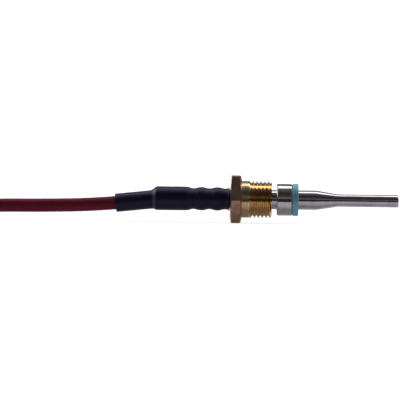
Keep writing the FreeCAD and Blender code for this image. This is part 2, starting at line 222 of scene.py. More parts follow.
# Ferrules: profiles of distance and radius, the tip's distances measured back from the tip, and
# the crimp's beginning, end, depth and teeth
FERRULE_LENGTH = 8.0
FERRULE_RADIUS = 0.6
FERRULE_REAR = [(2.2, 0.55), (2.5, FERRULE_RADIUS)]
FERRULE_TIP = [
    (0.05, FERRULE_RADIUS - 0.02),
    (0, 0.55),
    (0, 0.42),
    (0.15, 0.36),
    (0.05, 0.2),
    (0.04, 0.01),
]
BARREL_START = 2.6
BARREL_STEP = 0.1
BARREL_STATIONS = 53
CRIMP_BEGINS = (2.9, 3.3)
CRIMP_ENDS = (7.2, 7.6)
CRIMP_DEPTH = 0.10
TEETH_DEPTH = 0.06
TEETH_PITCH = 0.7

# The ferrules' plastic collars: profiles measured from the rear end, the start and the front end
COLLAR_RADIUS = 1.3
COLLAR_LENGTH = 5.0
COLLAR_OVERLAP = 2.5
COLLAR_REAR = [(0.9, 0.68), (0.3, 1.0), (0, 1.15), (0.02, 1.24), (0.12, COLLAR_RADIUS)]
COLLAR_NECK = [(0.2, COLLAR_RADIUS - 0.06), (1.0, 1.0), (1.3, 0.96)]
COLLAR_FRONT = [(-0.1, 0.93), (0, 0.85), (0, 0.62)]

# Clamping screw
SCREW_REAR = -17.67
HEX_THICK = 3.07
HEX_FLATS = 12.0
HEX_FACE_RADIUS = 5.1
HEX_FACE_EDGE = 0.1
HEX_FACE_EDGE_DEPTH = 0.03
HEX_CHAMFER = math.tan(math.radians(14.5))
HEX_CHAMFER_EDGE = 0.04
HEX_CORNER_CUT = 0.02
SHANK_RADIUS = 4.75
SHANK_FRONT = -12.9
SHANK_FILLET = 0.12
SCREW_FRONT = -6.85
SCREW_BORE = 2.6
SCREW_MOUTH = 2.9
MOUTH_DEPTH = 0.3
THREAD_PITCH = 1.0
THREAD_CREST = 4.92
THREAD_ROOT = 4.17
THREAD_CREST_HALF = 0.015
THREAD_FLANK = 0.44
THREAD_EDGE = 0.01
THREAD_CHAMFER = 0.45
THREAD_RUNOUT = 0.9
THREAD_PHASE = -7.74

# Sealing gasket
GASKET_REAR = -1.58
GASKET_RADIUS = 4.15
GASKET_BORE = 2.55
GASKET_ROUNDING = 0.18
GASKET_RECESS = 0.32
GASKET_CORNER_STEPS = 6
GASKET_UNEVEN = 0.05
GASKET_UNEVEN_SCALE = 0.9

# Two points are one within this distance, in metres, or when they agree to this many digits
SAME_POINT = 0.0005 * MM
SAME_DIGITS = 5


# Node materials. Coordinates come from the object, in millimetres.

def link(material, source, target):
    material.node_tree.links.new(source, target)


def new_material(name):
    """A material and its shader."""
    material = bpy.data.materials.new(name)
    material.use_nodes = True
    return material, material.node_tree.nodes["Principled BSDF"]


def fill_ramp(ramp, stops):
    """Colours at places from 0 to 1. New marks start in the middle and move to their places."""
    marks = ramp.color_ramp.elements
    while len(marks) < len(stops):
        marks.new(0.5)
    for mark, (place, colour) in zip(marks, stops):
        mark.position = place
        mark.color = (*colour, 1)


def stretched(material, stretch):
    """Object coordinates in millimetres, times a factor for each axis."""
    nodes = material.node_tree.nodes
    place = nodes.new("ShaderNodeTexCoord")
    scale = nodes.new("ShaderNodeMapping")
    scale.inputs["Scale"].default_value = [value / MM for value in stretch]
    link(material, place.outputs["Object"], scale.inputs["Vector"])
    return scale.outputs["Vector"]


def noise(material, stretch, detail):
    """Procedural noise, finer along an axis that is stretched more."""
    texture = material.node_tree.nodes.new("ShaderNodeTexNoise")
    texture.inputs["Scale"].default_value = 1.0
    texture.inputs["Detail"].default_value = detail
    texture.inputs["Roughness"].default_value = NOISE_ROUGHNESS
    link(material, stretched(material, stretch), texture.inputs["Vector"])
    return texture.outputs["Fac"]


def shades(material, value, colours):
    """Two colours mixed by a value."""
    ramp = material.node_tree.nodes.new("ShaderNodeValToRGB")
    fill_ramp(ramp, list(zip(BLOTCH_RANGE, colours)))
    link(material, value, ramp.inputs["Fac"])
    return ramp.outputs["Color"]


def spread(material, value, low, high):
    """A value moved into the range low to high."""
    ranged = material.node_tree.nodes.new("ShaderNodeMapRange")
    ranged.inputs["From Min"].default_value = GRAIN_RANGE[0]
    ranged.inputs["From Max"].default_value = GRAIN_RANGE[1]
    ranged.inputs["To Min"].default_value = low
    ranged.inputs["To Max"].default_value = high
    link(material, value, ranged.inputs["Value"])
    return ranged.outputs["Result"]


def bumped(material, value, depth):
    """Normals of a relief as deep as given, in metres."""
    bump = material.node_tree.nodes.new("ShaderNodeBump")
    bump.inputs["Distance"].default_value = depth
    link(material, value, bump.inputs["Height"])
    return bump.outputs["Normal"]


def finish_of(name, colours, grain, roughness, depth, blotch=(0.25, 0.25, 0.25), metallic=0.0, **sockets):
    """A material with blotches of two colours, and a grain in its roughness and bump."""
    material, shader = new_material(name)
    patches = noise(material, blotch, BLOTCH_DETAIL)
    fine = noise(material, grain, GRAIN_DETAIL)
    link(material, shades(material, patches, colours), shader.inputs["Base Color"])
    link(material, spread(material, fine, *roughness), shader.inputs["Roughness"])
    link(material, bumped(material, fine, depth), shader.inputs["Normal"])
    shader.inputs["Metallic"].default_value = metallic
    for socket, value in sockets.items():
        shader.inputs[socket.replace("_", " ")].default_value = value
    return material


def painted_highlight_between(material, start, end, level, raised):
    """More reflection between two places along the probe: a painted highlight on the sleeve's step."""
    nodes = material.node_tree.nodes
    place = nodes.new("ShaderNodeTexCoord")
    parts = nodes.new("ShaderNodeSeparateXYZ")
    span = nodes.new("ShaderNodeMapRange")
    span.inputs["From Min"].default_value = start * MM
    span.inputs["From Max"].default_value = end * MM
    band = nodes.new("ShaderNodeValToRGB")
    greys = [(value, value, value) for value in (level, raised, raised, level)]
    fill_ramp(band, list(zip(PAINTED_HIGHLIGHT_MARKS, greys)))
    link(material, place.outputs["Object"], parts.inputs[0])
    link(material, parts.outputs["X"], span.inputs["Value"])
    link(material, span.outputs["Result"], band.inputs["Fac"])
    link(material, band.outputs["Color"], nodes["Principled BSDF"].inputs["Specular IOR Level"])


STEEL = finish_of(
    "drawn_steel",
    colours=[(0.52, 0.50, 0.52), (0.64, 0.62, 0.64)],
    grain=(0.6, 14, 14),
    roughness=(0.09, 0.17),
    depth=1 * MICRON,
    blotch=(0.5, 0.3, 0.3),
    metallic=1.0,
)
TURNED_STEEL = finish_of(
    "turned_steel",
    colours=[(0.60, 0.57, 0.61), (0.71, 0.68, 0.73)],
    grain=(16, 0.5, 0.5),
    roughness=(0.08, 0.16),
    depth=2 * MICRON,
    blotch=(1.2, 0.2, 0.2),
    metallic=1.0,
)
BRASS = finish_of(
    "turned_brass",
    colours=[(0.54, 0.37, 0.13), (0.66, 0.46, 0.17)],
    grain=(14, 0.7, 0.7),
    roughness=(0.14, 0.24),
    depth=3 * MICRON,
    blotch=(0.7, 0.35, 0.35),
    metallic=1.0,
    Coat_Weight=1.0,
    Coat_IOR=2.1,
    Coat_Roughness=0.42,
)
# A lighter copy of the brass: painted light on the thread. Its lower roughness is the cut thread's own
THREAD_BRASS_PAINTED_LIGHT = finish_of(
    "threaded_brass_painted_light",
    colours=[(0.74, 0.55, 0.31), (0.86, 0.66, 0.39)],
    grain=(14, 0.7, 0.7),
    roughness=(0.09, 0.16),
    depth=3 * MICRON,
    blotch=(0.7, 0.35, 0.35),
    metallic=1.0,
)
HEX_BRASS = finish_of(
    "drawn_brass",
    colours=[(0.37, 0.235, 0.157), (0.51, 0.33, 0.224)],
    grain=(0.8, 9, 9),
    roughness=(0.30, 0.45),
    depth=6 * MICRON,
    blotch=(0.4, 0.6, 0.6),
    metallic=1.0,
)
GASKET = finish_of(
    "gasket_fibre",
    colours=[(0.13, 0.51, 0.64), (0.26, 0.72, 0.84)],
    grain=(5, 5, 5),
    roughness=(0.44, 0.56),
    depth=30 * MICRON,
    blotch=(1.6, 1.6, 1.6),
    Specular_IOR_Level=0.9,
    Sheen_Weight=0.6,
    Sheen_Roughness=0.5,
    Sheen_Tint=(0.75, 0.9, 1.0, 1.0),
)
SLEEVE = finish_of(
    "shrink_sleeve",
    colours=[(0.0045, 0.0037, 0.014), (0.0072, 0.0063, 0.021)],
    grain=(3, 3, 3),
    roughness=(0.42, 0.54),
    depth=8 * MICRON,
    Specular_Tint=(0.62, 0.60, 1.0, 1.0),
    IOR=1.75,
)
# A painted highlight on the sleeve's step: more reflection in a band along the probe
painted_highlight_between(SLEEVE, SHEATH_REAR - SLEEVE_STEP, SHEATH_REAR, STEP_SHINE, STEP_PAINTED_HIGHLIGHT)
JACKET = finish_of(
    "silicone_jacket",
    colours=[(0.188, 0.018, 0.042), (0.212, 0.0205, 0.048)],
    grain=(3, 3, 3),
    roughness=(0.36, 0.46),
    depth=3 * MICRON,
    blotch=(0.3, 0.3, 0.3),
    Specular_IOR_Level=0.09,
    Sheen_Weight=0.72,
    Sheen_Roughness=0.35,
    Sheen_Tint=(1.0, 0.22, 0.4, 1.0),
)
STRAP = finish_of(
    "strap_nylon",
    colours=[(0.012, 0.012, 0.013), (0.024, 0.024, 0.026)],
    grain=(4, 4, 4),
    roughness=(0.4, 0.55),
    depth=10 * MICRON,
)
WHITE_CORE = finish_of(
    "white_insulation",
    colours=[(0.70, 0.69, 0.65), (0.84, 0.83, 0.79)],
    grain=(4, 4, 4),
    roughness=(0.35, 0.5),
    depth=6 * MICRON,
)
RED_CORE = finish_of(
    "red_insulation",
    colours=[(0.42, 0.03, 0.025), (0.55, 0.05, 0.04)],
    grain=(4, 4, 4),
    roughness=(0.35, 0.5),
    depth=6 * MICRON,
)
TINNED = finish_of(
    "tinned_copper",
    colours=[(0.60, 0.59, 0.57), (0.76, 0.75, 0.73)],
    grain=(9, 3, 3),
    roughness=(0.24, 0.4),
    depth=8 * MICRON,
    metallic=1.0,
)
FERRULE_PLASTIC = finish_of(
    "ferrule_plastic",
    colours=[(0.68, 0.68, 0.66), (0.80, 0.80, 0.78)],
    grain=(5, 5, 5),
    roughness=(0.3, 0.42),
    depth=6 * MICRON,
)
LEAD = finish_of(
    "bright_lead",
    colours=[(0.62, 0.62, 0.62), (0.74, 0.74, 0.74)],
    grain=(6, 20, 20),
    roughness=(0.1, 0.2),
    depth=1 * MICRON,
    metallic=1.0,
)
CHIP = finish_of(
    "chip_ceramic",
    colours=[(0.78, 0.78, 0.75), (0.9, 0.9, 0.88)],
    grain=(12, 12, 12),
    roughness=(0.5, 0.65),
    depth=2 * MICRON,
)
BEAD = finish_of(
    "bead_glass",
    colours=[(0.55, 0.62, 0.64), (0.72, 0.78, 0.80)],
    grain=(3, 3, 3),
    roughness=(0.06, 0.14),
    depth=2 * MICRON,
)
POLYIMIDE = finish_of(
    "polyimide_film",
    colours=[(0.42, 0.17, 0.02), (0.56, 0.26, 0.04)],
    grain=(2, 2, 2),
    roughness=(0.2, 0.32),
    depth=2 * MICRON,
)
PASTE = finish_of(
    "heat_paste",
    colours=[(0.74, 0.74, 0.74), (0.84, 0.84, 0.84)],
    grain=(3, 3, 3),
    roughness=(0.55, 0.75),
    depth=30 * MICRON,
)
CLEAR_TUBE = finish_of(
    "pale_tube",
    colours=[(0.62, 0.61, 0.54), (0.74, 0.73, 0.66)],
    grain=(3, 3, 3),
    roughness=(0.25, 0.4),
    depth=5 * MICRON,
)


# Pieces in mesh code

def add_object(name, data, body):
    """A piece that rides a body of the model, under a given name."""
    item = bpy.data.objects.new(name, data)
    scene.collection.objects.link(item)
    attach(item, body)
    return item


def mark_sharp(data, degrees):
    """Faces turned outwards and smooth, with sharp edges where they meet at more than an angle."""
    limit = math.radians(degrees)
    mesh = bmesh.new()
    mesh.from_mesh(data)
    bmesh.ops.remove_doubles(mesh, verts=mesh.verts, dist=SAME_POINT)
    bmesh.ops.recalc_face_normals(mesh, faces=mesh.faces)
    for face in mesh.faces:
        face.smooth = True
    for edge in mesh.edges:
        edge.smooth = edge.calc_face_angle(0) < limit
    mesh.to_mesh(data)
    mesh.free()


def mesh_object(name, points, faces, body, materials, sharp, face_materials=None):
    """A mesh from points in millimetres."""
    data = bpy.data.meshes.new(name)
    data.from_pydata([Vector(spot) * MM for spot in points], [], faces)
    for material in materials:
        data.materials.append(material)
    if face_materials:
        data.polygons.foreach_set("material_index", face_materials)
    mark_sharp(data, sharp)
    return add_object(name, data, body)


def ring_faces(rings, segments, closed=False):
    """Faces between rings of points, one ring after the other."""
    faces = []
    last = rings if closed else rings - 1
    for ring in range(last):
        low = ring * segments
        high = (ring + 1) % rings * segments
        for step in range(segments):
            after = (step + 1) % segments
            faces.append((low + step, high + step, high + after, low + after))
    return faces


def welded(points, faces, choices):
    """The same mesh with points that lie in one place joined and its empty faces left out."""
    places = {}
    index = []
    for point in points:
        place = tuple(round(value, SAME_DIGITS) for value in point)
        index.append(places.setdefault(place, len(places)))
    kept_faces = []
    kept_choices = []
    for face, choice in zip(faces, choices):
        corners = [index[corner] for corner in face]
        corners = [corner for number, corner in enumerate(corners) if corner != corners[number - 1]]
        if len(corners) > 2:
            kept_faces.append(corners)
            kept_choices.append(choice)
    return list(places), kept_faces, kept_choices


def round_line(name, route, radius, material, roundness, smoothness):
    """A line of one thickness along a route in millimetres. Its radius is in metres."""
    data = bpy.data.curves.new(name, "CURVE")
    data.dimensions = "3D"
    data.bevel_depth = radius
    data.bevel_resolution = roundness
    data.resolution_u = smoothness
    data.use_fill_caps = True
    line = data.splines.new("NURBS")
    line.points.add(len(route) - 1)
    for spot, place in zip(line.points, route):
        spot.co = (*(Vector(place) * MM), 1)
    line.order_u = LINE_ORDER
    line.use_endpoint_u = True
    data.materials.append(material)
    return data


def around(x, radius, angle):
    """A point of the probe at an angle from the top, turning with the right hand round +X."""
    return (x, -radius * math.sin(angle), radius * math.cos(angle))


def smooth_share(value, start, end):
    """0 before start, 1 after end, and a soft step between them."""
    share = min(max((value - start) / (end - start), 0), 1)
    return share * share * (3 - 2 * share)


def mix(a, b, share):
    """From a at share 0 to b at share 1."""
    return a + (b - a) * share


def noise_at(place):
    return noise_field.noise(Vector(place))


def camera():
    """The photograph's view: nearly level from the front, turned and rolled by less than a degree."""
    data = bpy.data.cameras.new("camera")
    data.lens = LENS
    data.clip_start = CLIP_START
    item = bpy.data.objects.new("camera", data)
    scene.collection.objects.link(item)
    yaw = Matrix.Rotation(CAMERA_YAW, 4, "Z")
    away = yaw @ Vector((0, -math.cos(CAMERA_RISE), math.sin(CAMERA_RISE)))
    turn = yaw @ Matrix.Rotation(math.pi / 2 - CAMERA_RISE, 4, "X") @ Matrix.Rotation(CAMERA_ROLL, 4, "Z")
    item.matrix_world = Matrix.Translation(TARGET + away * DISTANCE) @ turn
    scene.camera = item


# The cable and its hank

def fold_state(turn, angle):
    """Radius and height of the cable in the right fold that follows a turn, at an angle."""
    level = turn if turn < ROWS else 2 * ROWS - 1 - turn
    height = ROW_FIRST + ROW_PITCH * level
    if turn < ROWS - 1:
        return OUTER_TURN, height + ROW_PITCH * smooth_share(angle, *CLIMB_ANGLES)
    if turn == ROWS - 1:
        return mix(OUTER_TURN, INNER_TURN, smooth_share(angle, *CROSS_ANGLES)), height
    return INNER_TURN, height - ROW_PITCH * smooth_share(angle, *SINK_ANGLES)


def half_turn(start, step):
    """Angles of half a turn, in steps that divide it."""
    return list(range(start, start + 180 + step, step))


def fold_points(centre_x, angles, radius_at, height_at):
    """Control points of a fold. Between its ends they stand out a little: the line cuts inside."""
    points = []
    step = math.radians(angles[1] - angles[0])
    for angle in angles:
        radius = radius_at(angle)
        if angle not in (angles[0], angles[-1]):
            radius /= math.cos(step / 2)
        turn = math.radians(angle)
        x = centre_x + radius * math.cos(turn)
        points.append((x, HANK_Y + radius * math.sin(turn), height_at(angle)))
    return points


def hank_points():
    """The turns of the hank: up the outer column, down the inner one, then in to the tail."""
    points = []
    left = half_turn(90, LEFT_STEP)
    right = half_turn(-90, RIGHT_STEP)
    for turn in range(2 * ROWS):
        outer = turn < ROWS
        level = turn if outer else 2 * ROWS - 1 - turn
        radius = OUTER_TURN if outer else INNER_TURN
        height = ROW_FIRST + ROW_PITCH * level
        slack = dice.uniform(0, FOLD_SLACK)
        points.append((TIE_X, HANK_Y + radius, height))
        points += fold_points(FOLD_LEFT + slack, left, lambda angle: radius, lambda angle: height)
        points.append((TIE_X, HANK_Y - radius, height))
        if turn == 2 * ROWS - 1:
            break
        points += fold_points(
            FOLD_RIGHT,
            right,
            lambda angle: fold_state(turn, angle)[0],
            lambda angle: fold_state(turn, angle)[1],
        )
    points.append((TAIL_LEAVES_X, HANK_Y - INNER_TURN + TAIL_LEAVES_IN, ROW_FIRST))
    tail = half_turn(-90, LEFT_STEP)
    points += fold_points(FOLD_RIGHT, tail, lambda angle: TAIL_TURN, lambda angle: ROW_FIRST)
    return points


def cable():
    """The whole cable, one line from inside the sheath to its stripped end."""
    route = CABLE_ROUTE + hank_points() + [TAIL_END]
    data = round_line("cable_line", route, CABLE_RADIUS, JACKET, roundness=7, smoothness=6)
    item = add_object("cable_line", data, "probe")
    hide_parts("cable", "cable_coil", "cable_tail")
    return item


# Shrink sleeve

def wave_radius(x, offset):
    """Radius over the grooved sheath: tangent arcs between its ridges and valleys, at an offset."""
    if x >= WAVE[0][0] or x <= WAVE[-1][0]:
        return SHEATH_RADIUS + offset
    for (x1, r1), (x2, r2) in zip(WAVE, WAVE[1:]):
        if x2 <= x <= x1:
            high, low = ((x1, r1), (x2, r2)) if r1 > r2 else ((x2, r2), (x1, r1))
            run = abs(x2 - x1)
            depth = abs(r2 - r1)
            bend = (run**2 + depth**2) / (4 * depth)
            from_high = abs(x - high[0])
            if from_high < run / 2 * (1 + offset / bend):
                return high[1] - bend + math.sqrt((bend + offset) ** 2 - from_high**2)
            return low[1] + bend - math.sqrt((bend - offset) ** 2 - (run - from_high) ** 2)
    return SHEATH_RADIUS + offset


def sleeve_rings():
    """Centre, facing and radius of each ring of the sleeve, outside first, and how many are outside."""
    body_rings = 140
    step_rings = 14
    tail_rings = 40
    inner_rings = 70
    outer = SHEATH_RADIUS + SLEEVE_WALL
    forward = Vector((1, 0, 0))
    along = (Vector(CABLE_ROUTE[2]) - Vector(CABLE_ROUTE[1])).normalized()
    step_start = Vector((SHEATH_REAR, 0, 0))
    step_end = Vector(CABLE_ROUTE[1]) + along * ((SHEATH_REAR - SLEEVE_STEP - CABLE_ROUTE[1][0]) / along.x)
    rings = []

    def on_axis(x, radius):
        rings.append((Vector((x, 0, 0)), forward, radius))

    on_axis(SLEEVE_FRONT, SHEATH_RADIUS + SLEEVE_FIT)
    on_axis(SLEEVE_FRONT, outer - SLEEVE_ROUNDING)
    on_axis(SLEEVE_FRONT - SLEEVE_ROUNDING / 3, outer - SLEEVE_ROUNDING / 3)
    on_axis(SLEEVE_FRONT - SLEEVE_ROUNDING, outer)
    for number in range(1, body_rings + 1):
        x = mix(SLEEVE_FRONT - SLEEVE_ROUNDING, SHEATH_REAR, number / body_rings)
        on_axis(x, wave_radius(x, SLEEVE_WALL))
    for number in range(1, step_rings + 1):
        share = number / step_rings
        centre = step_start.lerp(step_end, share)
        facing = forward.lerp(-along, share).normalized()
        rings.append((centre, facing, mix(outer, SLEEVE_TAIL_RADIUS, smooth_share(share, 0, 1))))
    for number in range(1, tail_rings + 1):
        reach = SLEEVE_TAIL * number / tail_rings
        soft = SLEEVE_END_ROUNDING * smooth_share(reach, SLEEVE_TAIL - SLEEVE_END_RUN, SLEEVE_TAIL)
        rings.append((step_end + along * reach, -along, SLEEVE_TAIL_RADIUS - soft))
    end = step_end + along * SLEEVE_TAIL
    rings.append((end, -along, SLEEVE_MOUTH_RADIUS))
    rings.append((end - along * SLEEVE_MOUTH_DEPTH, -along, SLEEVE_BORE))
    outer_rings = len(rings)
    rings.append((step_end, -along, SLEEVE_BORE))
    on_axis(SHEATH_REAR, SHEATH_RADIUS + SLEEVE_FIT)
    for number in range(1, inner_rings):
        x = mix(SHEATH_REAR, SLEEVE_FRONT, number / inner_rings)
        on_axis(x, wave_radius(x, SLEEVE_FIT))
    return rings, outer_rings


def shrink_sleeve():
    """The sleeve as it shrank: it follows the grooves, steps down and holds the cable, never quite even."""
    segments = 96
    rings, outer_rings = sleeve_rings()
    points = []
    for ring, (centre, facing, radius) in enumerate(rings):
        side = facing.cross(Vector((0, 0, 1))).normalized()
        up = side.cross(facing)
        for number in range(segments):
            angle = 2 * math.pi * number / segments
            way = up * math.cos(angle) + side * math.sin(angle)
            spot = centre + way * radius
            waves = SLEEVE_WAVES * noise_at(spot * SLEEVE_WAVES_SCALE)
            uneven = min(waves + SLEEVE_RIPPLES * noise_at(spot), SLEEVE_UNEVEN_LIMIT)
            points.append(spot + way * uneven if ring < outer_rings else spot)
    faces = ring_faces(len(rings), segments, closed=True)
    item = mesh_object("sleeve_shrunk", points, faces, "probe", [SLEEVE], sharp=50)
    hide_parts("shrink_sleeve")
    return item


# Straps and the cable's stripped end

def strap_outline(side, depth):
    """The strap's way round one long side of the hank, at a depth under its outer face."""
    middle = HANK_Y + side * (HANK_WALL + HANK_SIDE_WIDTH / 2)
    half = HANK_SIDE_WIDTH / 2 + STRAP_PROUD
    low = FLOOR_Z / MM
    high = low + HANK_HEIGHT + STRAP_PROUD
    bend = CABLE_RADIUS / MM + STRAP_PROUD
    corners = [
        (middle + half - bend, high - bend, 0),
        (middle - half + bend, high - bend, 90),
        (middle - half + bend, low + bend, 180),
        (middle + half - bend, low + bend, 270),
    ]
    outline = []
    for y, z, first in corners:
        for number in range(STRAP_CORNER_STEPS + 1):
            turn = math.radians(first + 90 * number / STRAP_CORNER_STEPS)
            outline.append((y + (bend - depth) * math.cos(turn), z + (bend - depth) * math.sin(turn)))
    return outline


def strap(side, letter):
    """A strap with raised rails along both edges."""
    half = STRAP_WIDTH / 2
    edge = [
        (half, STRAP_CHAMFER_DEPTH),
        (half - STRAP_CHAMFER, 0),
        (half - RAIL_EDGE, 0),
        (half - RAIL_FOOT, RAIL_HEIGHT),
    ]
    section = [(-shift, depth) for shift, depth in edge] + edge[::-1]
    section += [(half, STRAP_THICK), (-half, STRAP_THICK)]
    points = []
    for shift, depth in section:
        points += [(TIE_X + shift, y, z) for y, z in strap_outline(side, depth)]
    faces = ring_faces(len(section), len(points) // len(section), closed=True)
    item = mesh_object("strap_" + letter, points, faces, "probe", [STRAP], sharp=35)
    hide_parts("cable_tie_" + letter)
    return item


def strap_head(side, letter):
    """The strap's head on the hole's wall, with its slot, and the trimmed end that comes out of it."""
    wall = HANK_Y + side * (HANK_WALL - STRAP_PROUD)
    middle = wall - side * HEAD_DEPTH / 2
    block = bmesh.new()
    bmesh.ops.create_cube(block, size=1)
    bmesh.ops.scale(block, vec=(HEAD_LENGTH, HEAD_DEPTH, HEAD_HEIGHT), verts=block.verts)
    bmesh.ops.bevel(
        block, geom=block.edges, offset=HEAD_ROUNDING, segments=HEAD_ROUNDING_STEPS, affect="EDGES",
    )
    level = [face for face in block.faces if abs(face.normal.z) > LEVEL_NORMAL]
    ends = [face for face in level if face.calc_area() > SMALLEST_END]
    bmesh.ops.inset_individual(block, faces=ends, thickness=SLOT_RIM)
    for face in ends:
        inward = -SLOT_DEPTH if face.normal.z > 0 else SLOT_DEPTH
        bmesh.ops.translate(block, vec=(0, 0, inward), verts=face.verts)
    stub = bmesh.ops.create_cube(block, size=1)["verts"]
    bmesh.ops.scale(block, vec=(STRAP_WIDTH - STUB_NARROWER, STRAP_THICK, STUB_LENGTH), verts=stub)
    bmesh.ops.translate(block, vec=(0, 0, HEAD_HEIGHT / 2 - STUB_SUNK), verts=stub)
    bmesh.ops.translate(block, vec=(TIE_X, middle, HEAD_Z), verts=block.verts)
    bmesh.ops.scale(block, vec=(MM, MM, MM), verts=block.verts)
    data = bpy.data.meshes.new("strap_head_" + letter)
    block.to_mesh(data)
    block.free()
    data.materials.append(STRAP)
    mark_sharp(data, degrees=35)
    return add_object("strap_head_" + letter, data, "probe")


def end_core(letter, start_y, end_y, material):
    """One stripped core, from the jacket's end to its ferrule."""
    start = (CORE_START_X, start_y, ROW_FIRST)
    end = (CORE_END_X, end_y, CORE_END_Z)
    way = [start]
    for shares in CORE_BENDS:
        way.append([mix(a, b, share) for a, b, share in zip(start, end, shares)])
    way.append(end)
    data = round_line("core_line_" + letter, way, CORE_RADIUS * MM, material, roundness=6, smoothness=8)
    item = add_object("core_line_" + letter, data, "probe")
    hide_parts("end_core_" + letter)
    return item


def turned_along(name, start, way, stations, radius_at, material, sharp, hollow=False):
    """A turned piece along a level axis: stations are (distance, radius), radius_at shapes each point."""
    segments = 48
    way = Vector(way).normalized()
    side = Vector((-way.y, way.x, 0))
    up = Vector((0, 0, 1))
    points = []
    for reach, radius in stations:
        centre = Vector(start) + way * reach
        for number in range(segments):
            angle = 2 * math.pi * number / segments
            out = side * math.sin(angle) + up * math.cos(angle)
            points.append(centre + out * radius_at(reach, radius, angle))
    faces = ring_faces(len(stations), segments, closed=hollow)
    if not hollow:
        faces.append(tuple(range(segments)))
        faces.append(tuple(reversed(range(len(points) - segments, len(points)))))
    return mesh_object(name, points, faces, "probe", [material], sharp=sharp)


def crimped(reach, radius, angle):
    """A ferrule's barrel, pressed square by the crimping tool, with a row of teeth marks."""
    pressed = smooth_share(reach, *CRIMP_BEGINS) * (1 - smooth_share(reach, *CRIMP_ENDS))
    square = 0.5 - 0.5 * math.cos(4 * angle)
    teeth = 0.5 + 0.5 * math.cos(2 * math.pi * reach / TEETH_PITCH)
    return radius * (1 - pressed * square * (CRIMP_DEPTH + TEETH_DEPTH * teeth))


def ferrule(letter, end_y, way):
    """The crimped barrel on a core's end and its plastic collar."""
    start = (CORE_END_X, end_y, CORE_END_Z)
    metal = FERRULE_REAR + [
        (BARREL_START + BARREL_STEP * number, FERRULE_RADIUS) for number in range(BARREL_STATIONS)
    ]
    metal += [(FERRULE_LENGTH - back, radius) for back, radius in FERRULE_TIP]
    barrel = turned_along("ferrule_" + letter, start, way, metal, crimped, TINNED, sharp=30)
    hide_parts("end_ferrule_" + letter)
    rear = -COLLAR_OVERLAP
    front = COLLAR_LENGTH - COLLAR_OVERLAP
    plastic = [(rear + reach, radius) for reach, radius in COLLAR_REAR]
    plastic += COLLAR_NECK
    plastic += [(front + reach, radius) for reach, radius in COLLAR_FRONT]
    collar = turned_along(
        "ferrule_mouth_" + letter, start, way, plastic, lambda reach, radius, angle: radius,
        FERRULE_PLASTIC, sharp=60, hollow=True,
    )
    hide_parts("ferrule_collar_" + letter)
    return [barrel, collar]


# Thread and screw

def thread_height(share):
    """Share of the thread's depth at a share of one turn from the crest's middle."""
    away = abs(share - round(share))
    return 1 - min(max((away - THREAD_CREST_HALF) / THREAD_FLANK, 0), 1)


def thread_radius(x, angle):
    """Radius of the threaded part, with its run-out into the shank and its front chamfer."""
    share = (x - THREAD_PHASE) / THREAD_PITCH - angle / (2 * math.pi)
    radius = mix(THREAD_ROOT, THREAD_CREST, thread_height(share))
    radius = mix(SHANK_RADIUS, radius, smooth_share(x, SHANK_FRONT, SHANK_FRONT + THREAD_RUNOUT))
    return min(radius, THREAD_CREST - THREAD_CHAMFER + (SCREW_FRONT - x))


def hex_radius(angle):
    """Distance of the hexagon's side from the axis. Its flats are level, on top and below."""
    sector = math.radians(60)
    from_flat = (angle + sector / 2) % sector - sector / 2
    return min(HEX_FLATS / 2 / math.cos(from_flat), HEX_FLATS / math.sqrt(3) - HEX_CORNER_CUT)


